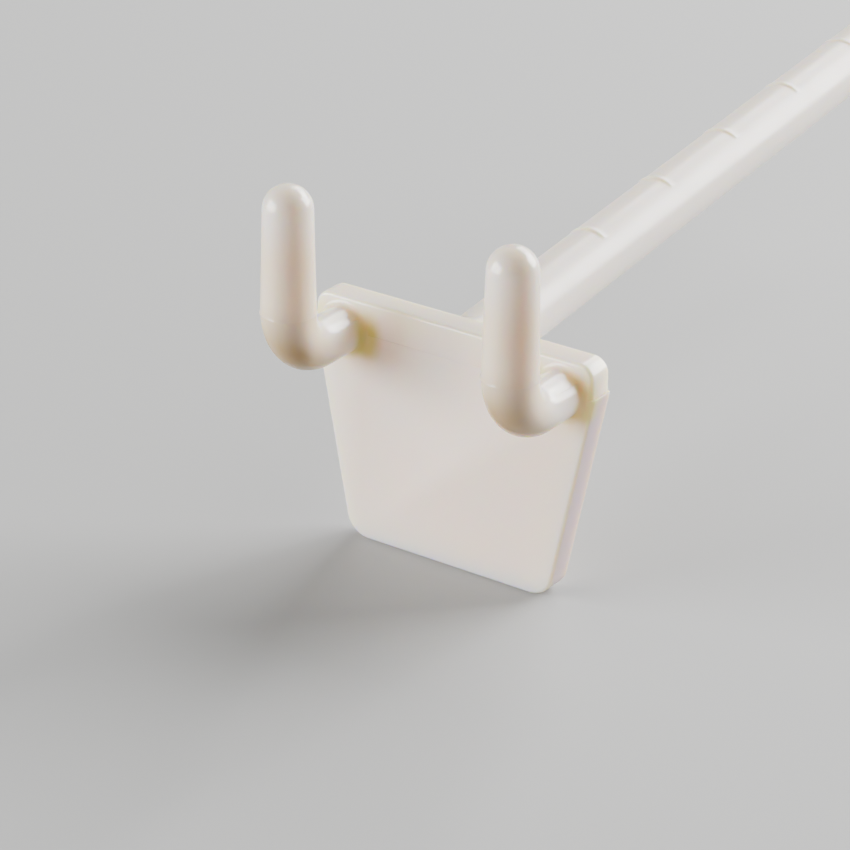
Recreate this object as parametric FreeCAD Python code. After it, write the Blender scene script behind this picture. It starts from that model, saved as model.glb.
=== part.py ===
"""Pegboard hook: one injection-moulded piece with two pegs, a back plate and a round arm.

Millimetres. The origin is midway between the axes of the two peg necks, on the
plate's rear face, which bears on the board. +Z is up along the pegs, +Y points
into the board and the arm runs out towards -Y. The plane z = 0 is the mould's
parting plane.
"""

import FreeCAD, Part
import math
import os

from FreeCAD import Vector

# Pegs
PEG_SPACING = 25.4          # between the two pegs, one board pitch
PEG_REACH = 8.9             # rear face to the axis of the upright
PEG_HEIGHT = 17.85          # neck axis to the top of the round tip
PEG_TIP_RADIUS = 2.48
PEG_BASE_RADIUS = 2.71      # foot of the upright, where the bend ends
PEG_BEND_RADIUS = 4.85      # centre line of the bend
NECK_RADIUS = 2.45
NECK_ROOT_FILLET = 0.6
PEG_BEAD = 0.06             # mould line that stands proud round the upright's foot
PEG_BEAD_RISE = 0.6
NECK_SEAM = 0.04            # mould line along the upper part of the neck
NECK_SEAM_HEIGHT = 1.4      # above the neck axis

# Back plate
PLATE_THICKNESS = 3.1
PLATE_WIDTH = 32.7          # lower half, at the parting plane
PLATE_FOOT_WIDTH = 23.7
PLATE_DROP = 22.4           # parting plane to the foot
PLATE_RISE = 3.4            # parting plane to the top
PLATE_STEP = 0.25           # the upper half is set in by this much at each side
PLATE_REAR_STEP = 0.05      # and by this much at the rear face
PLATE_DRAFT = 0.017         # slope of the upper half's sides
FOOT_CORNER_RADIUS = 2.6
TOP_CORNER_RADIUS = 1.6
EDGE_RADIUS = 0.4

# Arm
ARM_ROOT_RADIUS = 3.28
ARM_END_RADIUS = 3.2
ARM_LENGTH = 113.0          # straight part, from the plate's front face
ARM_RISE_ANGLE = 6.41       # degrees above the necks
ARM_ROOT_HEIGHT = -0.29     # arm axis at the plate's front face
ARM_ROOT_FILLET = 0.8
TIP_BEND_RADIUS = 12.0
TIP_BEND_ANGLE = 35.0
TIP_LENGTH = 3.0            # straight part between the bend and the round end

# Low ridges across the top of the arm, each a round set high so that its ends run out
RIDGE_FIRST = 8.7           # plate's front face to the first ridge
RIDGE_PITCH = 13.2
RIDGE_HEIGHT = 0.18
RIDGE_RISE = 0.35           # length of the side towards the plate
RIDGE_FALL = 0.65           # length of the side towards the tip
RIDGE_RADIUS = 2.87
RIDGE_TURN = 10.0           # degrees about the arm, towards +X
RIDGE_END_CLEARANCE = 5.0   # plain arm left before the tip's bend

# Modelling allowances, all inside material or in free air
OVERLAP = 0.3
EPSILON = 1e-7

X_AXIS = Vector(1, 0, 0)
Y_AXIS = Vector(0, 1, 0)
Z_AXIS = Vector(0, 0, 1)


def rounded_outline(corners):
    """Closed wire in the XZ plane through (x, z, radius) corners, with true arcs."""
    count = len(corners)
    tangents = []
    for i, (x, z, radius) in enumerate(corners):
        here = Vector(x, 0, z)
        back = Vector(corners[i - 1][0], 0, corners[i - 1][1]) - here
        ahead_corner = corners[(i + 1) % count]
        ahead = Vector(ahead_corner[0], 0, ahead_corner[1]) - here
        back.normalize()
        ahead.normalize()
        half_angle = back.getAngle(ahead) / 2
        setback = radius / math.tan(half_angle)
        middle = back + ahead
        if radius > EPSILON:
            middle.normalize()
            apex = here + middle * (radius / math.sin(half_angle) - radius)
            tangents.append((here + back * setback, apex, here + ahead * setback))
        else:
            tangents.append((here, None, here))
    edges = []
    for i, (start, apex, end) in enumerate(tangents):
        if apex is not None:
            edges.append(Part.Arc(start, apex, end).toShape())
        edges.append(Part.LineSegment(end, tangents[(i + 1) % count][0]).toShape())
    return Part.Wire(edges)


def rounded_slab(corners, rear, front, edge_radius):
    """Slab between two Y planes; every edge is rounded but those in the parting plane."""
    face = Part.Face(rounded_outline(corners))
    slab = face.extrude(Vector(0, front - rear, 0))
    slab.translate(Vector(0, rear, 0))
    rims = []
    for edge in slab.Edges:
        box = edge.BoundBox
        in_face = box.YLength < EPSILON
        in_parting_plane = abs(box.ZMin) < EPSILON and abs(box.ZMax) < EPSILON
        if in_face and not in_parting_plane:
            rims.append(edge)
    return slab.makeFillet(edge_radius, rims)


def make_plate():
    """Back plate: a tapering lower half and a shallow upper half, set in at the parting plane."""
    half = PLATE_WIDTH / 2
    foot = PLATE_FOOT_WIDTH / 2
    lower = rounded_slab(
        [
            (-half, 0, 0),
            (half, 0, 0),
            (foot, -PLATE_DROP, FOOT_CORNER_RADIUS),
            (-foot, -PLATE_DROP, FOOT_CORNER_RADIUS),
        ],
        0,
        -PLATE_THICKNESS,
        EDGE_RADIUS,
    )
    inner = half - PLATE_STEP
    top = inner - PLATE_DRAFT * PLATE_RISE
    upper = rounded_slab(
        [
            (-inner, 0, 0),
            (-top, PLATE_RISE, TOP_CORNER_RADIUS),
            (top, PLATE_RISE, TOP_CORNER_RADIUS),
            (inner, 0, 0),
        ],
        -PLATE_REAR_STEP,
        -PLATE_THICKNESS,
        EDGE_RADIUS,
    )
    return lower.fuse(upper)


def revolved(profile, axis_point, axis, degrees=360.0):
    """Solid of revolution of a closed wire."""
    return Part.Face(profile).revolve(axis_point, axis, degrees)


def make_upright():
    """Upright of a peg at x = 0: drafted shaft with a mould bead at its foot and a round tip."""
    foot = PEG_BEND_RADIUS
    tip_centre = PEG_HEIGHT - PEG_TIP_RADIUS
    height = tip_centre - foot
    # the shaft's slope is the one that meets the round tip without a crease
    draft = math.acos(PEG_TIP_RADIUS / math.hypot(PEG_BASE_RADIUS, height))
    draft -= math.atan2(height, PEG_BASE_RADIUS)
    bead_top = PEG_BASE_RADIUS - PEG_BEAD_RISE * math.tan(draft)

    def point(radius, z):
        return Vector(0, PEG_REACH + radius, z)

    def on_tip(angle):
        return point(PEG_TIP_RADIUS * math.cos(angle), tip_centre + PEG_TIP_RADIUS * math.sin(angle))

    axis_foot = point(0, foot)
    bead_edge = point(PEG_BASE_RADIUS + PEG_BEAD, foot)
    shaft_foot = point(bead_top, foot + PEG_BEAD_RISE)
    shoulder = on_tip(draft)
    crown = on_tip(math.pi / 2)
    profile = Part.Wire(
        [
            Part.LineSegment(axis_foot, bead_edge).toShape(),
            Part.LineSegment(bead_edge, shaft_foot).toShape(),
            Part.LineSegment(shaft_foot, shoulder).toShape(),
            Part.Arc(shoulder, on_tip((draft + math.pi / 2) / 2), crown).toShape(),
            Part.LineSegment(crown, axis_foot).toShape(),
        ]
    )
    return revolved(profile, axis_foot, Z_AXIS)


def make_bend():
    """Bend of a peg at x = 0: round section that grows evenly from the neck to the upright."""
    start = Vector(0, PEG_REACH - PEG_BEND_RADIUS, 0)
    end = Vector(0, PEG_REACH, PEG_BEND_RADIUS)
    centre = start + Z_AXIS * PEG_BEND_RADIUS
    middle = centre + Vector(0, math.sin(math.pi / 4), -math.cos(math.pi / 4)) * PEG_BEND_RADIUS
    spine = Part.Wire([Part.Arc(start, middle, end).toShape()])
    sweep = Part.BRepOffsetAPI.MakePipeShell(spine)
    sweep.add(Part.Wire([Part.makeCircle(NECK_RADIUS, start, Y_AXIS)]))
    sweep.add(Part.Wire([Part.makeCircle(PEG_BASE_RADIUS, end, Z_AXIS)]))
    sweep.build()
    sweep.makeSolid()
    return sweep.shape()


def make_neck():
    """Neck of a peg at x = 0, with its rounded root on the plate and the mould line along it."""
    length = PEG_REACH - PEG_BEND_RADIUS
    buried = Vector(0, -PLATE_THICKNESS / 2, 0)
    shaft = Part.makeCylinder(NECK_RADIUS, length + PLATE_THICKNESS / 2, buried, Y_AXIS)
    seam = Part.makeCylinder(NECK_RADIUS + NECK_SEAM, length, Vector(0, 0, 0), Y_AXIS)
    side = 2 * (NECK_RADIUS + NECK_SEAM)
    above = Part.makeBox(side, length, side, Vector(-side / 2, 0, NECK_SEAM_HEIGHT))
    return shaft.fuse([seam.common(above), make_root_fillet(NECK_RADIUS, NECK_ROOT_FILLET)])


def make_root_fillet(radius, fillet):
    """Ring that rounds the corner between the plane y = 0 and a shaft along +Y."""
    outer = Vector(0, 0, radius + fillet)
    inner = Vector(0, fillet, radius)
    centre = Vector(0, fillet, radius + fillet)
    middle = centre + Vector(0, -math.sin(math.pi / 4), -math.cos(math.pi / 4)) * fillet
    buried = -OVERLAP
    corners = [
        outer,
        Vector(0, buried, radius + fillet),
        Vector(0, buried, 0),
        Vector(0, fillet, 0),
        inner,
    ]
    edges = [Part.LineSegment(a, b).toShape() for a, b in zip(corners, corners[1:])]
    edges.append(Part.Arc(inner, middle, outer).toShape())
    return revolved(Part.Wire(edges), Vector(0, 0, 0), Y_AXIS)


def make_peg(x):
    """One J-shaped peg whose axis lies at the given x."""
    peg = make_neck().fuse([make_bend(), make_upright()])
    peg.translate(Vector(x, 0, 0))
    return peg


def arm_radius(station):
    """Radius of the straight arm at a distance from the plate's front face."""
    return ARM_ROOT_RADIUS + (ARM_END_RADIUS - ARM_ROOT_RADIUS) * station / ARM_LENGTH


def make_ridge(station):
    """Ridge on a level arm: two cones, foot to foot, that meet in a crest across the arm's top."""
    crest = station + RIDGE_RISE
    height = arm_radius(crest) + RIDGE_HEIGHT - RIDGE_RADIUS
    # both slopes go on below the arm's surface by the same share
    sunk = 1 + OVERLAP / RIDGE_HEIGHT
    foot = RIDGE_RADIUS - RIDGE_HEIGHT * sunk
    top = Vector(0, -crest, height)
    rise = Part.makeCone(RIDGE_RADIUS, foot, RIDGE_RISE * sunk, top, Y_AXIS)
    fall = Part.makeCone(RIDGE_RADIUS, foot, RIDGE_FALL * sunk, top, -Y_AXIS)
    ridge = rise.fuse(fall)
    ridge.rotate(Vector(0, 0, 0), Y_AXIS, RIDGE_TURN)
    return ridge


def ridge_stations():
    """Distances of the ridges' steps from the plate, as many as the straight arm holds."""
    last = ARM_LENGTH - RIDGE_RISE - RIDGE_FALL - RIDGE_END_CLEARANCE
    count = int((last - RIDGE_FIRST) / RIDGE_PITCH) + 1
    return [RIDGE_FIRST + i * RIDGE_PITCH for i in range(count)]


def make_tip():
    """Upturned end of a level arm: a bend, a short straight and a round end."""
    start = Vector(0, -ARM_LENGTH, 0)
    pivot = start + Z_AXIS * TIP_BEND_RADIUS
    disc = Part.Face(Part.Wire([Part.makeCircle(ARM_END_RADIUS, start, Y_AXIS)]))
    bend = disc.revolve(pivot, X_AXIS, -TIP_BEND_ANGLE)
    turn = math.radians(TIP_BEND_ANGLE)
    bend_end = pivot + Vector(0, -math.sin(turn), -math.cos(turn)) * TIP_BEND_RADIUS
    heading = Vector(0, -math.cos(turn), math.sin(turn))
    stub = Part.makeCylinder(ARM_END_RADIUS, TIP_LENGTH, bend_end, heading)
    ball = Part.makeSphere(ARM_END_RADIUS, bend_end + heading * TIP_LENGTH)
    return bend.fuse([stub, ball])


def make_arm_root():
    """Rounded corner under and beside the arm's root; it runs out at the top, by the plate's edge."""
    drop = ARM_ROOT_FILLET / 2
    ring = make_root_fillet(ARM_ROOT_RADIUS - drop, ARM_ROOT_FILLET)
    ring.rotate(Vector(0, 0, 0), Z_AXIS, 180)
    ring.translate(Vector(0, -PLATE_THICKNESS, ARM_ROOT_HEIGHT - drop))
    return ring


def make_arm():
    """Arm with its ridges and upturned tip, raised from its root on the plate's front face."""
    buried = PLATE_THICKNESS / 2
    shaft = Part.makeCone(
        arm_radius(-buried), ARM_END_RADIUS, ARM_LENGTH + buried, Vector(0, buried, 0), -Y_AXIS
    )
    arm = shaft.fuse([make_tip()] + [make_ridge(station) for station in ridge_stations()])
    arm.rotate(Vector(0, 0, 0), X_AXIS, -ARM_RISE_ANGLE)
    arm.translate(Vector(0, -PLATE_THICKNESS, ARM_ROOT_HEIGHT))
    return arm.fuse(make_arm_root())


def make_hook():
    """The whole hook as one solid."""
    pegs = [make_peg(side * PEG_SPACING / 2) for side in (-1, 1)]
    hook = make_plate().fuse(pegs + [make_arm()])
    return hook.removeSplitter()


hook = make_hook()
os.makedirs("parts", exist_ok=True)
hook.exportStep("parts/pegboard_hook.step")
box = hook.BoundBox
print("solids", len(hook.Solids), "valid", hook.isValid(), "volume mm3", round(hook.Volume, 1))
print("size mm", round(box.XLength, 2), round(box.YLength, 2), round(box.ZLength, 2))
print("ridges", len(ridge_stations()))
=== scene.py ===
"""Studio scene of a moulded pegboard hook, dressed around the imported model."""

import logging
import math
from dataclasses import dataclass, field
from enum import Enum
from typing import Union

import bmesh
import bpy
from mathutils import Euler, Matrix, Vector


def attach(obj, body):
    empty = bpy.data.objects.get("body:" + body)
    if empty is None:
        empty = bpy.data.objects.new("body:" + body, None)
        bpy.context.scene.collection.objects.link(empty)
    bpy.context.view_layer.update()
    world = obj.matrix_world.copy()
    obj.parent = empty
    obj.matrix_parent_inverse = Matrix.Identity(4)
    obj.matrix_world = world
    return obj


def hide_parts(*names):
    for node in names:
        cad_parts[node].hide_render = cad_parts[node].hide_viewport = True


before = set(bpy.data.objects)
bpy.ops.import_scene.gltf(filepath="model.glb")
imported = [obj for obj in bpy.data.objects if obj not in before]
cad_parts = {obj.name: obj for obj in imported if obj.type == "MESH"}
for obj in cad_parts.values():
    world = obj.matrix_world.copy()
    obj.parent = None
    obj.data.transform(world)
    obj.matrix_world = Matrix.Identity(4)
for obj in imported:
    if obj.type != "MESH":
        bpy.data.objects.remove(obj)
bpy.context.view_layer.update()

log = logging.getLogger("pegboard_hook")

MM = 0.001
X_AXIS = Vector((1, 0, 0))
Y_AXIS = Vector((0, 1, 0))
HOOK_NODE = "pegboard_hook"

# How near two points or a point and a plane count as touching, in mm
ON_PLANE = 1e-6
SOLID_WELD = 1e-5
SKIN_WELD = 1e-4

Colour = tuple[float, float, float]
Corner = tuple[float, float, float]
Socket = bpy.types.NodeSocket
Signal = Union[Socket, float, tuple]


class Join(Enum):
    """How two closed solids are put together."""

    UNION = "UNION"
    INTERSECT = "INTERSECT"


def ring_frame(centre: Vector, heading: Vector, radius: float) -> Matrix:
    """Placement of a unit circle whose local X stays along the world's X axis.

    Args:
        centre: Centre of the ring, in mm.
        heading: Unit vector along the bar, square to X.
        radius: Radius of the ring, in mm.

    Returns:
        The matrix that takes the unit circle in the XY plane to the ring.
    """
    side = heading.cross(X_AXIS)
    turn = Matrix((X_AXIS, side, heading)).transposed().to_4x4()
    return Matrix.Translation(centre) @ turn @ Matrix.Scale(radius, 4)


class RoundBar:
    """A closed round bar that grows ring by ring from its open end."""

    def __init__(self, centre: Vector, heading: Vector, radius: float, sides: int) -> None:
        """Starts the bar with a capped circle.

        Args:
            centre: Centre of the first ring, in mm.
            heading: Direction in which the bar grows.
            radius: Radius of the first ring, in mm.
            sides: Number of sides of each ring.
        """
        self.bm = bmesh.new()
        self.centre = centre.copy()
        self.heading = heading.normalized()
        self.radius = radius
        self.place = ring_frame(self.centre, self.heading, radius)
        bmesh.ops.create_circle(
            self.bm, cap_ends=True, radius=1.0, segments=sides, matrix=self.place
        )
        self.rim = list(self.bm.edges)

    def grow(self, centre: Vector, heading: Vector, radius: float) -> None:
        """Extrudes the open end to a new ring.

        Args:
            centre: Centre of the new ring, in mm.
            heading: Direction of the bar at the new ring.
            radius: Radius of the new ring, in mm.
        """
        place = ring_frame(centre, heading.normalized(), radius)
        grown = bmesh.ops.extrude_edge_only(self.bm, edges=self.rim)["geom"]
        verts = [g for g in grown if isinstance(g, bmesh.types.BMVert)]
        ring = set(verts)
        self.rim = [
            g for g in grown
            if isinstance(g, bmesh.types.BMEdge) and all(v in ring for v in g.verts)
        ]
        bmesh.ops.transform(self.bm, matrix=place @ self.place.inverted(), verts=verts)
        self.place, self.centre = place, centre.copy()
        self.heading, self.radius = heading.normalized(), radius

    def run(self, length: float, radius: float) -> None:
        """Grows straight on by a length in mm, to a new radius."""
        self.grow(self.centre + self.heading * length, self.heading, radius)

    def bend(self, pivot: Vector, degrees: float, radius: float, steps: int) -> None:
        """Grows round a pivot, about the X axis, with the radius changing evenly.

        Args:
            pivot: Centre of the bend, in mm.
            degrees: Angle of the bend, by the right-hand rule about X.
            radius: Radius of the bar where the bend ends, in mm.
            steps: Number of rings in the bend.
        """
        start_arm, start_heading, start_radius = self.centre - pivot, self.heading, self.radius
        for step in range(1, steps + 1):
            share = step / steps
            turn = Matrix.Rotation(math.radians(degrees * share), 3, "X")
            self.grow(
                pivot + turn @ start_arm,
                turn @ start_heading,
                start_radius + (radius - start_radius) * share,
            )

    def fillet_down(self, fillet: float, radius: float, steps: int) -> None:
        """Grows a concave quarter round that shrinks the bar to a radius over its length.

        Args:
            fillet: Radius of the quarter round, in mm.
            radius: Radius of the bar where the round ends, in mm.
            steps: Number of rings in the round.
        """
        start = self.centre.copy()
        for step in range(1, steps + 1):
            angle = math.pi / 2 * step / steps
            self.grow(
                start + self.heading * fillet * (1 - math.cos(angle)),
                self.heading,
                radius + fillet * (1 - math.sin(angle)),
            )

    def dome(self, start_angle: float, steps: int) -> None:
        """Closes the end with a round tip that carries on from the bar's slope.

        Args:
            start_angle: Angle on the tip's sphere at which the bar meets it, in radians.
            steps: Number of rings in the tip.
        """
        ball = self.radius / math.cos(start_angle)
        middle = self.centre - self.heading * ball * math.sin(start_angle)
        for step in range(1, steps):
            angle = start_angle + (math.pi / 2 - start_angle) * step / steps
            self.grow(
                middle + self.heading * ball * math.sin(angle), self.heading, ball * math.cos(angle)
            )
        last = bmesh.ops.extrude_edge_only(self.bm, edges=self.rim)["geom"]
        verts = [g for g in last if isinstance(g, bmesh.types.BMVert)]
        bmesh.ops.pointmerge(self.bm, verts=verts, merge_co=middle + self.heading * ball)

    def close(self) -> None:
        """Closes the open end with a flat cap."""
        bmesh.ops.contextual_create(self.bm, geom=self.rim)

    def part(self, name: str) -> bpy.types.Object:
        """Turns the bar into a scratch object, in mm."""
        return scratch_object(self.bm, name)


def scratch_object(bm: bmesh.types.BMesh, name: str) -> bpy.types.Object:
    """Makes an object of a bmesh, with its faces pointing outwards.

    Args:
        bm: Closed bmesh in mm; it is freed.
        name: Name of the object.

    Returns:
        The new object, linked to the scene.
    """
    bmesh.ops.remove_doubles(bm, verts=bm.verts, dist=SOLID_WELD)
    bmesh.ops.recalc_face_normals(bm, faces=bm.faces)
    mesh = bpy.data.meshes.new(name)
    bm.to_mesh(mesh)
    bm.free()
    obj = bpy.data.objects.new(name, mesh)
    bpy.context.scene.collection.objects.link(obj)
    return obj


def joined(base: bpy.types.Object, others: list[bpy.types.Object], join: Join) -> bpy.types.Object:
    """Puts solids together exactly and removes the objects that went in.

    Args:
        base: First solid.
        others: Solids joined to it in turn.
        join: Whether to unite them or keep what they share.

    Returns:
        A new object that holds the result.
    """
    for other in others:
        step = base.modifiers.new(other.name, "BOOLEAN")
        step.operation = join.value
        step.solver = "EXACT"
        step.object = other
    bpy.context.view_layer.update()
    depsgraph = bpy.context.evaluated_depsgraph_get()
    mesh = bpy.data.meshes.new_from_object(base.evaluated_get(depsgraph))
    name = base.name
    for used in [base, *others]:
        used_mesh = used.data
        bpy.data.objects.remove(used)
        bpy.data.meshes.remove(used_mesh)
    result = bpy.data.objects.new(name, mesh)
    bpy.context.scene.collection.objects.link(result)
    return result


def place_mesh(obj: bpy.types.Object, matrix: Matrix) -> bpy.types.Object:
    """Moves an object's mesh and leaves the object at the origin."""
    obj.data.transform(matrix)
    return obj


@dataclass(frozen=True)
class Slab:
    """Flat slab between two Y planes, rounded at its corners and at its rims.

    The corners are the outline's (x, z, corner radius), and all sizes are in mm. The rims
    on the parting plane, z = 0, stay sharp.
    """

    corners: tuple[Corner, ...]
    rear: float
    front: float
    rim: float
    corner_steps: int = 10
    rim_steps: int = 6

    def build(self) -> bmesh.types.BMesh:
        """Builds the slab.

        Returns:
            A closed bmesh in mm.
        """
        bm = bmesh.new()
        verts = [bm.verts.new((x, self.rear, z)) for x, z, _ in self.corners]
        bm.faces.new(verts)
        for vert, (_, _, radius) in zip(verts, self.corners):
            if radius > 0:
                self.round_corner(bm, vert, radius)
        face = bm.faces[:][0]
        grown = bmesh.ops.extrude_face_region(bm, geom=[face])["geom"]
        far = [g for g in grown if isinstance(g, bmesh.types.BMVert)]
        bmesh.ops.translate(bm, vec=(0, self.front - self.rear, 0), verts=far)
        bmesh.ops.recalc_face_normals(bm, faces=bm.faces)
        rims = [
            e for e in bm.edges
            if abs(e.verts[0].co.y - e.verts[1].co.y) < ON_PLANE
            and not all(abs(v.co.z) < ON_PLANE for v in e.verts)
        ]
        bmesh.ops.bevel(
            bm, geom=rims, offset=self.rim, offset_type="OFFSET", segments=self.rim_steps,
            profile=0.5, affect="EDGES", material=-1, clamp_overlap=True,
        )
        return bm

    def round_corner(
        self, bm: bmesh.types.BMesh, vert: bmesh.types.BMVert, radius: float
    ) -> None:
        """Rounds one corner of the flat outline.

        Args:
            bm: The outline, as one face.
            vert: The corner.
            radius: Radius of the rounding, in mm.
        """
        first, second = (e.other_vert(vert).co - vert.co for e in vert.link_edges)
        setback = radius / math.tan(first.angle(second) / 2)
        bmesh.ops.bevel(
            bm, geom=[vert], offset=setback, offset_type="OFFSET", segments=self.corner_steps,
            profile=0.5, affect="VERTICES", material=-1, clamp_overlap=False,
        )


@dataclass(frozen=True)
class BackPlate:
    """Tapering plate that bears on the board, moulded in two halves that meet at z = 0."""

    thickness: float = 3.1
    width: float = 32.7
    foot_width: float = 23.7
    drop: float = 22.4
    rise: float = 3.4
    side_step: float = 0.25
    rear_step: float = 0.05
    draft: float = 0.017
    foot_corner: float = 2.6
    top_corner: float = 1.6
    rim: float = 0.4

    def taper(self) -> float:
        """Narrowing of each side for each mm down."""
        return (self.width - self.foot_width) / 2 / self.drop

    def lower_half(self) -> bpy.types.Object:
        """Builds the half below the parting plane.

        Returns:
            The half as a closed object, in mm.
        """
        half, foot = self.width / 2, self.foot_width / 2
        corners = (
            (-half, 0, 0),
            (-foot, -self.drop, self.foot_corner),
            (foot, -self.drop, self.foot_corner),
            (half, 0, 0),
        )
        slab = Slab(corners, 0, -self.thickness, self.rim)
        return scratch_object(slab.build(), "plate_lower")

    def upper_half(self) -> bpy.types.Object:
        """Builds the strip above the parting plane, set in at its sides and rear.

        Returns:
            The strip as a closed object, in mm.
        """
        inner = self.width / 2 - self.side_step
        top = inner - self.draft * self.rise
        corners = (
            (-inner, 0, 0),
            (inner, 0, 0),
            (top, self.rise, self.top_corner),
            (-top, self.rise, self.top_corner),
        )
        slab = Slab(corners, -self.rear_step, -self.thickness, self.rim)
        return scratch_object(slab.build(), "plate_upper")


@dataclass(frozen=True)
class Peg:
    """J-shaped peg: neck with a rounded root and a mould line, bend, mould bead, upright.

    The mould line is a low seam along the neck with a finer flash on it. The seam's skin is
    a round set a little lower than the neck. Both start inside the root and run out where
    the bend begins.
    """

    spacing: float = 25.4
    reach: float = 8.9
    height: float = 17.85
    tip_radius: float = 2.48
    base_radius: float = 2.71
    bend_radius: float = 4.85
    neck_radius: float = 2.45
    root_fillet: float = 0.6
    buried: float = 1.5
    root_start: float = -0.06
    bead: float = 0.1
    bead_rise: float = 0.4
    bead_step: float = 0.012
    seam: float = 0.05
    seam_height: float = 1.5
    seam_shift: float = 0.35
    seam_start: float = 0.4
    seam_level: float = 0.6
    seam_fade: float = 0.4
    flash: float = 0.08
    flash_width: float = 0.18
    sides: int = 96
    root_steps: int = 6
    bend_steps: int = 28
    tip_steps: int = 14

    def shape(self, side: int) -> bpy.types.Object:
        """Builds one peg.

        Args:
            side: -1 or 1, the side of the plate on which it stands.

        Returns:
            The peg as a closed object, in mm.
        """
        x = side * self.spacing / 2
        fillet = self.root_fillet - self.root_start
        root = self.neck_radius + fillet
        bar = RoundBar(Vector((x, -self.buried, 0)), Y_AXIS, root, self.sides)
        bar.run(self.buried + self.root_start, root)
        bar.fillet_down(fillet, self.neck_radius, self.root_steps)
        bar.run(self.reach - self.bend_radius - self.root_fillet, self.neck_radius)
        pivot = Vector((x, self.reach - self.bend_radius, self.bend_radius))
        bar.bend(pivot, 90, self.base_radius, self.bend_steps)
        self.upright(bar)
        return joined(bar.part(f"peg_{side}"), self.mould_line(x), Join.UNION)

    def upright(self, bar: RoundBar) -> None:
        """Grows the bead, the drafted upright and its round tip.

        Args:
            bar: The peg up to the end of its bend.
        """
        length = self.height - self.tip_radius - self.bend_radius
        draft = math.acos(self.tip_radius / math.hypot(self.base_radius, length))
        draft -= math.atan2(length, self.base_radius)
        bar.run(self.bead_step, self.base_radius + self.bead)
        bar.run(
            self.bead_rise - self.bead_step, self.base_radius - self.bead_rise * math.tan(draft)
        )
        tip_rise = self.tip_radius * math.sin(draft)
        bar.run(length - self.bead_rise + tip_rise, self.tip_radius * math.cos(draft))
        bar.dome(draft, self.tip_steps)

    def mould_line(self, x: float) -> list[bpy.types.Object]:
        """Builds the seam along the neck and the flash on its lower edge.

        Args:
            x: Place of the neck's axis, in mm.

        Returns:
            The two bands as closed objects, in mm.
        """
        reach = math.sqrt(self.neck_radius**2 - self.seam_height**2) + self.seam
        seam_radius = math.hypot(reach, self.seam_height + self.seam_shift)
        flash_radius = self.neck_radius + self.flash
        low = self.seam_height - self.flash_width / 2
        seam_centre, neck_centre = Vector((x, 0, -self.seam_shift)), Vector((x, 0, 0))
        return [
            self.band(seam_centre, seam_radius, self.seam_height, self.neck_radius),
            self.band(neck_centre, flash_radius, low, self.flash_width),
        ]

    def band(self, centre: Vector, radius: float, low: float, width: float) -> bpy.types.Object:
        """Builds a level band of a round skin that fades out where the bend begins.

        Args:
            centre: Point on the skin's axis at the plate, in mm.
            radius: Radius of the skin, in mm.
            low: Height of the band's lower edge over the neck's axis, in mm.
            width: Upright width of the band, in mm.

        Returns:
            The band as a closed object, in mm.
        """
        length = self.reach - self.bend_radius
        start = centre + Y_AXIS * (self.seam_start * self.root_fillet)
        bar = RoundBar(start, Y_AXIS, radius, self.sides)
        bar.run(self.seam_level * length, radius)
        bar.run(self.seam_fade * length, radius - 2 * self.flash)
        bar.close()
        # Wider and longer than the skin, so that only its top and bottom cut
        block = bmesh.new()
        place = Matrix.Translation((centre.x, length / 2, low + width / 2))
        size = Matrix.Diagonal((3 * radius, 2 * length, width, 1))
        bmesh.ops.create_cube(block, size=1, matrix=place @ size)
        return joined(bar.part("seam"), [scratch_object(block, "seam_band")], Join.INTERSECT)


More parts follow.
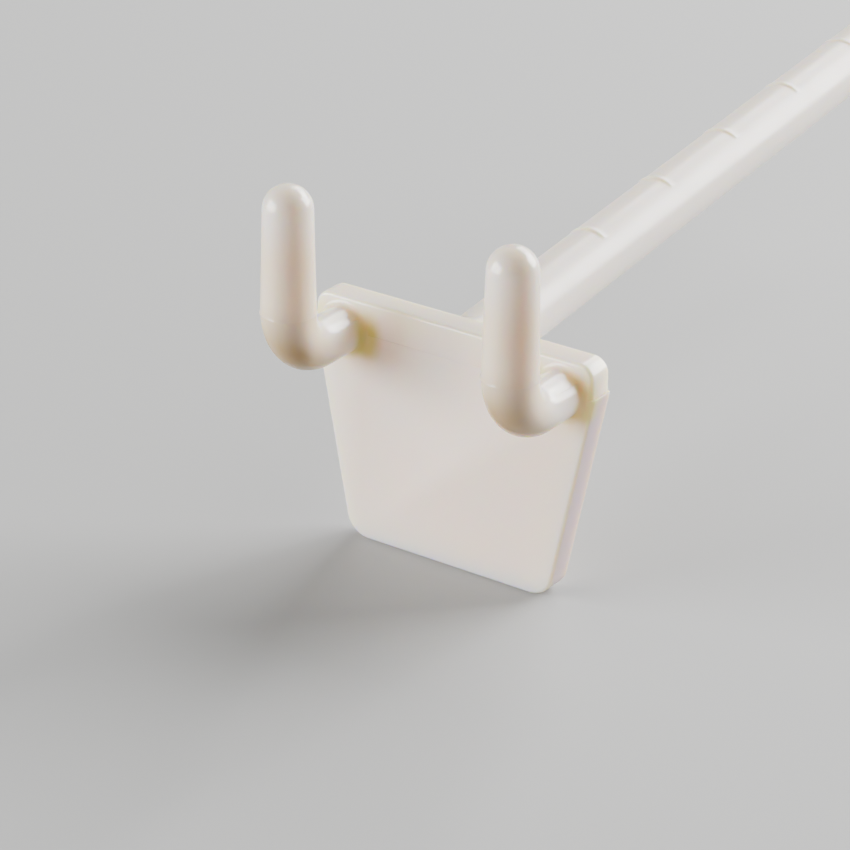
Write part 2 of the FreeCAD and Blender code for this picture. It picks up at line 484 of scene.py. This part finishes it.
@dataclass(frozen=True)
class Arm:
    """Rising round arm with low ridges across its top and an upturned round end.

    Each ridge is a bump of one round sleeve that is thinner than the arm and set high in
    it, so that only the bumps come through, and run out at their ends.
    """

    root_radius: float = 3.28
    end_radius: float = 3.2
    length: float = 113.0
    rise_angle: float = 6.41
    root_height: float = -0.29
    root_fillet: float = 0.8
    tip_bend_radius: float = 12.0
    tip_bend_angle: float = 35.0
    tip_length: float = 3.0
    ridge_first: float = 8.7
    ridge_pitch: float = 13.2
    ridge_count: int = 8
    ridge_height: float = 0.18
    ridge_rise: float = 0.35
    ridge_fall: float = 0.65
    ridge_radius: float = 2.87
    ridge_turn: float = 10.0
    ridge_roundness: float = 1.6
    sleeve_lead: float = 1.0
    overlap: float = 0.3
    margin: float = 0.25
    sides: int = 128
    root_steps: int = 8
    ridge_steps: int = 5
    bend_steps: int = 16
    tip_steps: int = 16

    def radius_at(self, station: float) -> float:
        """Radius of the straight arm at a distance from the plate's front face."""
        return self.root_radius + (self.end_radius - self.root_radius) * station / self.length

    def stations(self) -> list[float]:
        """Distances of the ridges from the plate's front face."""
        return [self.ridge_first + i * self.ridge_pitch for i in range(self.ridge_count)]

    def shaft(self, buried: float) -> bpy.types.Object:
        """Builds the level arm with its bend and round end.

        Args:
            buried: Length inside the plate, in mm.

        Returns:
            The plain arm as a closed object.
        """
        bar = RoundBar(Vector((0, buried, 0)), -Y_AXIS, self.radius_at(-buried), self.sides)
        at = -buried
        for station in self.stations():
            before = station - self.margin
            after = station + self.ridge_rise + self.ridge_fall + self.margin
            for place in (before, after):
                bar.run(place - at, self.radius_at(place))
                at = place
        bar.run(self.length - at, self.end_radius)
        pivot = Vector((0, -self.length, self.tip_bend_radius))
        bar.bend(pivot, -self.tip_bend_angle, self.end_radius, self.bend_steps)
        bar.run(self.tip_length, self.end_radius)
        bar.dome(0.0, self.tip_steps)
        return bar.part("arm")

    def ridge_ring(self, station: float, proud: float) -> tuple[Vector, float]:
        """Ring of the ridges' sleeve, set high so that a ridge's ends run out.

        Args:
            station: Distance of the ring from the plate's front face, in mm.
            proud: Height of the ring's top over the arm, in mm.

        Returns:
            The ring's centre and radius.
        """
        height = self.radius_at(station) + self.ridge_height - self.ridge_radius
        return Vector((0, -station, height)), self.ridge_radius - self.ridge_height + proud

    def ridges(self) -> bpy.types.Object:
        """Builds all the ridges of the level arm as one sleeve with a bump at each.

        Returns:
            The sleeve as a closed object.
        """
        start, radius = self.ridge_ring(self.ridge_first - self.sleeve_lead, -self.overlap)
        sleeve = RoundBar(start, -Y_AXIS, radius, self.sides)
        for station in self.stations():
            crest = station + self.ridge_rise
            for step in range(-self.ridge_steps - 1, self.ridge_steps + 2):
                reach = self.ridge_rise if step < 0 else self.ridge_fall
                share = step / self.ridge_steps
                proud = self.ridge_height * (1 - abs(share) ** self.ridge_roundness)
                centre, radius = self.ridge_ring(crest + reach * share, proud)
                sleeve.grow(centre, -Y_AXIS, radius)
        sleeve.close()
        ridges = sleeve.part("ridges")
        return place_mesh(ridges, Matrix.Rotation(math.radians(self.ridge_turn), 4, "Y"))

    def root(self, front: float) -> bpy.types.Object:
        """Builds the rounded corner between the plate's front face and the arm.

        Args:
            front: Y of the plate's front face, in mm.

        Returns:
            The corner as a closed object, in its place.
        """
        drop = self.root_fillet / 2
        radius = self.root_radius - drop
        start = Vector((0, front + self.overlap, self.root_height - drop))
        bar = RoundBar(start, -Y_AXIS, radius + self.root_fillet, self.sides)
        bar.run(self.overlap, radius + self.root_fillet)
        bar.fillet_down(self.root_fillet, radius, self.root_steps)
        bar.close()
        return bar.part("arm_root")

    def shape(self, front: float) -> bpy.types.Object:
        """Builds the whole arm in its place.

        Args:
            front: Y of the plate's front face, in mm.

        Returns:
            The arm as a closed object, in mm.
        """
        arm = joined(self.shaft(-front / 2), [self.ridges()], Join.UNION)
        turn = Matrix.Rotation(math.radians(-self.rise_angle), 4, "X")
        return place_mesh(arm, Matrix.Translation((0, front, self.root_height)) @ turn)


@dataclass(frozen=True)
class SoftStep:
    """A change from low to high as a signal goes from start to end, which may be below it."""

    start: float
    end: float
    low: float = 0.0
    high: float = 1.0


@dataclass(frozen=True)
class Grain:
    """A noise pattern: how many features it has in each mm, and octaves of finer ones."""

    per_mm: float
    detail: float


@dataclass(frozen=True)
class Place:
    """A point of the hook in mm, as signals: the whole vector and its parts."""

    point: Socket
    x: Socket
    y: Socket
    z: Socket


class NodeSheet:
    """Adds and wires the shader nodes of one material."""

    def __init__(self, mat: bpy.types.Material) -> None:
        """Opens the material's node tree.

        Args:
            mat: The material to wire.
        """
        mat.use_nodes = True
        self.nodes = mat.node_tree.nodes
        self.links = mat.node_tree.links
        self.shader = self.nodes["Principled BSDF"]

    def feed(self, socket: Socket, value: Signal) -> None:
        """Links a socket to a signal, or sets it to a plain value.

        Args:
            socket: The socket that is fed.
            value: The signal or the plain value.
        """
        if isinstance(value, Socket):
            self.links.new(value, socket)
        else:
            socket.default_value = value

    def place(self) -> Place:
        """Adds the object's own coordinates, in mm.

        Returns:
            The coordinates as signals.
        """
        scale = self.nodes.new("ShaderNodeVectorMath")
        scale.operation = "SCALE"
        scale.inputs["Scale"].default_value = 1 / MM
        coordinates = self.nodes.new("ShaderNodeTexCoord")
        self.links.new(coordinates.outputs["Object"], scale.inputs[0])
        axes = self.nodes.new("ShaderNodeSeparateXYZ")
        self.links.new(scale.outputs[0], axes.inputs[0])
        return Place(scale.outputs[0], *axes.outputs)

    def math(self, operation: str, first: Signal, second: Signal = 0.0) -> Socket:
        """Adds a Math node.

        Args:
            operation: Blender's name of the operation.
            first: First value.
            second: Second value, where the operation takes one.

        Returns:
            The node's output.
        """
        node = self.nodes.new("ShaderNodeMath")
        node.operation = operation
        self.feed(node.inputs[0], first)
        self.feed(node.inputs[1], second)
        return node.outputs[0]

    def product(self, first: Signal, *others: Signal) -> Signal:
        """Multiplies signals.

        Args:
            first: First signal.
            others: Signals that it is multiplied by, in turn.

        Returns:
            The product.
        """
        for other in others:
            first = self.math("MULTIPLY", first, other)
        return first

    def length(self, first: Signal, second: Signal) -> Socket:
        """Returns the length of the hypotenuse over two signals."""
        squares = [self.math("MULTIPLY", value, value) for value in (first, second)]
        return self.math("SQRT", self.math("ADD", *squares))

    def ramp(self, value: Signal, step: SoftStep) -> Socket:
        """Adds a soft step.

        Args:
            value: Signal to read.
            step: Where the step begins and ends, and its outputs.

        Returns:
            The step's output.
        """
        node = self.nodes.new("ShaderNodeMapRange")
        node.interpolation_type = "SMOOTHSTEP"
        self.feed(node.inputs["Value"], value)
        ends = sorted([(step.start, step.low), (step.end, step.high)])
        for name, (at, output) in zip(("Min", "Max"), ends):
            node.inputs[f"From {name}"].default_value = at
            node.inputs[f"To {name}"].default_value = output
        return node.outputs["Result"]

    def blend(self, share: Signal, first: Signal, second: Signal) -> Socket:
        """Mixes two colours.

        Args:
            share: Share of the second colour.
            first: First colour.
            second: Second colour.

        Returns:
            The mixed colour.
        """
        node = self.nodes.new("ShaderNodeMix")
        node.data_type = "RGBA"
        factor, colour_a, colour_b = (node.inputs[i] for i in (0, 6, 7))
        self.feed(factor, share)
        self.feed(colour_a, first)
        self.feed(colour_b, second)
        return node.outputs[2]

    def noise(self, vector: Socket, grain: Grain) -> Socket:
        """Adds a noise pattern on coordinates in mm.

        Args:
            vector: Coordinates in mm.
            grain: Fineness of the pattern.

        Returns:
            The pattern, about 0.5 on average.
        """
        node = self.nodes.new("ShaderNodeTexNoise")
        node.inputs["Scale"].default_value = grain.per_mm
        node.inputs["Detail"].default_value = grain.detail
        self.links.new(vector, node.inputs["Vector"])
        return node.outputs["Fac"]


@dataclass(frozen=True)
class IvoryPlastic:
    """Warm white moulded plastic that light enters, with painted shade on the pegs' roots, bends
    and lower uprights and on the plate's side faces.

    The steps say where each tint begins and ends, in mm along an axis or from an edge.
    """

    colour: Colour = (0.872, 0.797, 0.73)
    cloud: Colour = (0.855, 0.792, 0.728)
    clouds: Grain = Grain(0.12, 2.0)
    cloud_share: SoftStep = SoftStep(0.35, 0.65)

    # Painted shade in the corner round each neck and on the neck's underside, yellow as light
    # through the thick plastic looks there
    painted_root_shade_colour: Colour = (0.735, 0.69, 0.175)
    root_from_corner: SoftStep = SoftStep(2.1, 0.4)
    root_top: SoftStep = SoftStep(3.4, 0.2)
    root_foot: SoftStep = SoftStep(-3.0, -1.7, 0.15)
    root_outside: SoftStep = SoftStep(1.2, 2.8, 1.0, 0.62)
    under_height: SoftStep = SoftStep(-0.8, -2.3, 0.0, 0.5)
    under_rear: SoftStep = SoftStep(3.6, 0.8)
    under_skin: SoftStep = SoftStep(3.6, 2.9)
    under_front: SoftStep = SoftStep(-0.5, 0.1)

    # Painted shade: brown on the outside of each bend and darker, warmer lower uprights; the pegs
    # past the neck also take a slightly darker, warmer colour
    painted_bend_shade_colour: Colour = (0.44, 0.315, 0.155)
    bend_from_pivot: SoftStep = SoftStep(4.9, 7.0)
    bend_height: SoftStep = SoftStep(7.0, 0.5)
    bend_start: SoftStep = SoftStep(2.5, 5.0)
    peg_colour: Colour = (0.80, 0.748, 0.71)
    peg_start: SoftStep = SoftStep(3.5, 7.5)
    painted_stem_shade_colour: Colour = (0.782, 0.68, 0.54)
    stem_height: SoftStep = SoftStep(15.5, 10.0)

    # Painted shade: greyer, darker side faces of the plate
    painted_side_shade_colour: Colour = (0.60, 0.51, 0.545)
    side_edge: SoftStep = SoftStep(-0.9, -0.25)
    side_depth: SoftStep = SoftStep(0.1, -0.4)
    side_height: SoftStep = SoftStep(0.5, -0.5)

    depth: Colour = (1.0, 0.69, 0.14)
    depth_mm: float = 3.3
    subsurface: float = 1.0
    specular: float = 0.85
    refraction: float = 1.49
    polish: Grain = Grain(0.25, 3.0)
    polish_share: SoftStep = SoftStep(0.3, 0.7, 0.17, 0.24)
    arm_roughness: SoftStep = SoftStep(-2.5, -6.0, 0.0, 0.12)
    waves: Grain = Grain(0.16, 1.0)
    wave_mm: float = 0.012
    grain: Grain = Grain(6.0, 2.0)
    grain_mm: float = 0.0010

    def painted_root_shade_share(self, sheet: NodeSheet, at: Place, peg: Peg) -> Socket:
        """Shows where the painted yellow shade lies round the roots of the pegs.

        Args:
            sheet: Sheet that takes the nodes.
            at: Place on the hook.
            peg: The pegs.

        Returns:
            Share of the painted root shade.
        """
        across = sheet.math("SUBTRACT", sheet.math("ABSOLUTE", at.x), peg.spacing / 2)
        from_axis = sheet.length(across, at.z)
        root_radius = peg.neck_radius + peg.root_fillet
        from_corner = sheet.length(sheet.math("SUBTRACT", from_axis, root_radius), at.y)
        in_corner = sheet.product(
            sheet.ramp(from_corner, self.root_from_corner),
            sheet.ramp(at.z, self.root_top),
            sheet.ramp(at.z, self.root_foot),
        )
        under_neck = sheet.product(
            sheet.ramp(at.z, self.under_height),
            sheet.ramp(at.y, self.under_rear),
            sheet.ramp(from_axis, self.under_skin),
            sheet.ramp(at.y, self.under_front),
        )
        both = sheet.math("MAXIMUM", in_corner, under_neck)
        return sheet.product(both, sheet.ramp(across, self.root_outside))

    def painted_bend_shade_share(self, sheet: NodeSheet, at: Place, peg: Peg) -> Socket:
        """Shows where painted shade browns the outside of the pegs' bends.

        Args:
            sheet: Sheet that takes the nodes.
            at: Place on the hook.
            peg: The pegs.

        Returns:
            Share of the painted bend shade.
        """
        from_pivot = sheet.length(
            sheet.math("SUBTRACT", at.y, peg.reach - peg.bend_radius),
            sheet.math("SUBTRACT", at.z, peg.bend_radius),
        )
        return sheet.product(
            sheet.ramp(from_pivot, self.bend_from_pivot),
            sheet.ramp(at.z, self.bend_height),
            sheet.ramp(at.y, self.bend_start),
        )

    def painted_side_shade_share(self, sheet: NodeSheet, at: Place, plate: BackPlate) -> Socket:
        """Shows where painted shade darkens the plate's side faces.

        Args:
            sheet: Sheet that takes the nodes.
            at: Place on the hook.
            plate: The plate.

        Returns:
            Share of the painted side shade.
        """
        half = sheet.math("ADD", sheet.product(at.z, plate.taper()), plate.width / 2)
        outside = sheet.math("SUBTRACT", sheet.math("ABSOLUTE", at.x), half)
        return sheet.product(
            sheet.ramp(outside, self.side_edge),
            sheet.ramp(at.y, self.side_depth),
            sheet.ramp(at.z, self.side_height),
        )

    def tinted(self, sheet: NodeSheet, at: Place, peg: Peg, plate: BackPlate) -> Socket:
        """Lays the pegs' colour and the painted shade of the roots, bends, lower uprights and plate
        sides over the cloudy base.

        Args:
            sheet: Sheet that takes the nodes.
            at: Place on the hook.
            peg: The pegs.
            plate: The plate.

        Returns:
            The finished colour.
        """
        clouds = sheet.ramp(sheet.noise(at.point, self.clouds), self.cloud_share)
        colour = sheet.blend(clouds, self.opaque(self.colour), self.opaque(self.cloud))
        past_neck = sheet.ramp(at.y, self.peg_start)
        # Painted shade: the plate's side faces, the lower uprights, the outsides of the bends and
        # the necks' corners and undersides
        tints = (
            (self.painted_side_shade_share(sheet, at, plate), self.painted_side_shade_colour),
            (past_neck, self.peg_colour),
            (sheet.product(sheet.ramp(at.z, self.stem_height), past_neck), self.painted_stem_shade_colour),
            (self.painted_bend_shade_share(sheet, at, peg), self.painted_bend_shade_colour),
            (self.painted_root_shade_share(sheet, at, peg), self.painted_root_shade_colour),
        )
        for share, tint in tints:
            colour = sheet.blend(share, colour, self.opaque(tint))
        return colour

    def roughness(self, sheet: NodeSheet, at: Place) -> Socket:
        """Makes a slightly uneven polish that is duller along the arm.

        Args:
            sheet: Sheet that takes the nodes.
            at: Place on the hook.

        Returns:
            The roughness.
        """
        uneven = sheet.ramp(sheet.noise(at.point, self.polish), self.polish_share)
        return sheet.math("ADD", uneven, sheet.ramp(at.y, self.arm_roughness))

    def relief(self, sheet: NodeSheet, at: Place) -> Socket:
        """Makes the faint waves and the fine grain of a moulded skin.

        Args:
            sheet: Sheet that takes the nodes.
            at: Place on the hook.

        Returns:
            The bumped normal.
        """
        waves = sheet.product(sheet.noise(at.point, self.waves), self.wave_mm * MM)
        grain = sheet.product(sheet.noise(at.point, self.grain), self.grain_mm * MM)
        bump = sheet.nodes.new("ShaderNodeBump")
        bump.inputs["Strength"].default_value = 1.0
        bump.inputs["Distance"].default_value = 1.0
        sheet.links.new(sheet.math("ADD", waves, grain), bump.inputs["Height"])
        return bump.outputs[0]

    def material(self, peg: Peg, plate: BackPlate) -> bpy.types.Material:
        """Makes the node material.

        Args:
            peg: The pegs, whose roots and bends take painted shade.
            plate: The plate, whose side faces take painted shade.

        Returns:
            The material.
        """
        mat = bpy.data.materials.new("ivory_plastic_moulded")
        sheet = NodeSheet(mat)
        at = sheet.place()
        inputs = sheet.shader.inputs
        sheet.links.new(self.tinted(sheet, at, peg, plate), inputs["Base Color"])
        sheet.links.new(self.roughness(sheet, at), inputs["Roughness"])
        sheet.links.new(self.relief(sheet, at), inputs["Normal"])
        inputs["Subsurface Weight"].default_value = self.subsurface
        inputs["Subsurface Radius"].default_value = self.depth
        inputs["Subsurface Scale"].default_value = self.depth_mm * MM
        inputs["Specular IOR Level"].default_value = self.specular
        inputs["IOR"].default_value = self.refraction
        return mat

    @staticmethod
    def opaque(colour: Colour) -> tuple[float, float, float, float]:
        """Returns a colour with full alpha, as sockets take it."""
        return (*colour, 1.0)


@dataclass(frozen=True)
class Hook:
    """The one-piece hook: plate, pegs and arm united into a single skin."""

    plate: BackPlate = field(default_factory=BackPlate)
    peg: Peg = field(default_factory=Peg)
    arm: Arm = field(default_factory=Arm)
    finish: IvoryPlastic = field(default_factory=IvoryPlastic)
    crease: float = math.radians(38)

    def build(self) -> bpy.types.Object:
        """Builds, smooths and dresses the hook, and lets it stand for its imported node.

        Returns:
            The finished hook, in metres.
        """
        front = -self.plate.thickness
        parts = [
            self.plate.upper_half(),
            self.peg.shape(-1),
            self.peg.shape(1),
            self.arm.shape(front),
            self.arm.root(front),
        ]
        hook = joined(self.plate.lower_half(), parts, Join.UNION)
        hook.name = "moulded_hook"
        self.smooth(hook)
        hook.data.materials.clear()
        hook.data.materials.append(self.finish.material(self.peg, self.plate))
        place_mesh(hook, Matrix.Scale(MM, 4))
        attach(hook, "root")
        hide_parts(HOOK_NODE)
        return hook

    def smooth(self, hook: bpy.types.Object) -> None:
        """Welds the skin and shades it smooth up to its creases.

        Args:
            hook: The united solids, in mm.
        """
        bm = bmesh.new()
        bm.from_mesh(hook.data)
        bmesh.ops.remove_doubles(bm, verts=bm.verts, dist=SKIN_WELD)
        bmesh.ops.dissolve_degenerate(bm, edges=bm.edges, dist=SKIN_WELD)
        bmesh.ops.recalc_face_normals(bm, faces=bm.faces)
        open_edges = sum(1 for e in bm.edges if not e.is_manifold)
        log.info("hook skin: %d faces, %d open edges", len(bm.faces), open_edges)
        bm.to_mesh(hook.data)
        bm.free()
        hook.data.shade_smooth()
        hook.data.set_sharp_from_angle(angle=self.crease)


@dataclass(frozen=True)
class Softbox:
    """One square area light that faces the hook; angles in degrees, sizes in metres."""

    name: str
    azimuth: float
    elevation: float
    power: float
    size: float
    distance: float = 0.9
    aim: tuple[float, float, float] = (0.0, -0.02, 0.0)

    def build(self) -> bpy.types.Object:
        """Adds the light; its azimuth is counted from +Y towards -X.

        Returns:
            The lamp, linked to the scene.
        """
        light = bpy.data.lights.new(self.name, "AREA")
        light.shape = "SQUARE"
        light.size = self.size
        light.energy = self.power
        turn = Euler((math.radians(self.elevation), 0, math.radians(self.azimuth)), "XYZ")
        outward = turn.to_matrix() @ Y_AXIS
        lamp = bpy.data.objects.new(self.name, light)
        lamp.location = Vector(self.aim) + outward * self.distance
        lamp.rotation_euler = (-outward).to_track_quat("-Z", "Y").to_euler()
        bpy.context.scene.collection.objects.link(lamp)
        return lamp


@dataclass(frozen=True)
class Studio:
    """Pale floor, soft light and the camera; places in metres, angles in degrees."""

    floor_height: float = -0.02245
    floor_size: float = 6.0
    floor_colour: Colour = (0.41, 0.41, 0.405)
    floor_roughness: float = 0.7
    sky: Colour = (0.80, 0.81, 0.83)
    sky_strength: float = 0.04
    camera_place: tuple[float, float, float] = (-0.161969, 0.239620, 0.130026)
    camera_turn: tuple[float, float, float] = (64.6503, -0.7080, -145.1477)
    lens: float = 139.609
    sensor: float = 36.0
    clip_start: float = 0.01
    softboxes: tuple[Softbox, ...] = (
        Softbox("left_box", azimuth=-46, elevation=4, power=34.5, size=0.8),
        Softbox("back_right_box", azimuth=150, elevation=23, power=24.5, size=0.6),
        Softbox("back_box", azimuth=184, elevation=33, power=10.5, size=0.55),
    )

    def floor(self) -> bpy.types.Object:
        """Builds the pale floor.

        Returns:
            The floor, staged.
        """
        bm = bmesh.new()
        bmesh.ops.create_grid(bm, x_segments=1, y_segments=1, size=self.floor_size / 2)
        bmesh.ops.translate(bm, vec=(0, 0, self.floor_height), verts=bm.verts)
        floor = scratch_object(bm, "floor")
        mat = bpy.data.materials.new("pale_floor")
        mat.use_nodes = True
        shader = mat.node_tree.nodes["Principled BSDF"]
        shader.inputs["Base Color"].default_value = (*self.floor_colour, 1)
        shader.inputs["Roughness"].default_value = self.floor_roughness
        floor.data.materials.append(mat)
        return floor

    def surroundings(self) -> None:
        """Adds the faint light from all round."""
        world = bpy.data.worlds.new("soft_sky")
        world.use_nodes = True
        background = world.node_tree.nodes["Background"]
        background.inputs["Color"].default_value = (*self.sky, 1)
        background.inputs["Strength"].default_value = self.sky_strength
        bpy.context.scene.world = world

    def camera(self) -> bpy.types.Object:
        """Adds the camera and makes it the scene's own.

        Returns:
            The camera.
        """
        data = bpy.data.cameras.new("camera")
        data.lens = self.lens
        data.sensor_width = self.sensor
        data.sensor_fit = "HORIZONTAL"
        data.clip_start = self.clip_start
        camera = bpy.data.objects.new("camera", data)
        camera.location = self.camera_place
        camera.rotation_euler = Euler([math.radians(a) for a in self.camera_turn], "XYZ")
        bpy.context.scene.collection.objects.link(camera)
        bpy.context.scene.camera = camera
        return camera

    def build(self) -> None:
        """Adds the floor, the lights, the surrounding light and the camera."""
        self.floor()
        for box in self.softboxes:
            box.build()
        self.surroundings()
        self.camera()
        log.info("studio: %d softboxes", len(self.softboxes))


def main() -> None:
    """Builds the studio and the hook."""
    logging.basicConfig(level=logging.INFO, format="%(name)s: %(message)s")
    Studio().build()
    hook = Hook().build()
    log.info("%s: %d vertices", hook.name, len(hook.data.vertices))


if __name__ == "__main__":
    main()
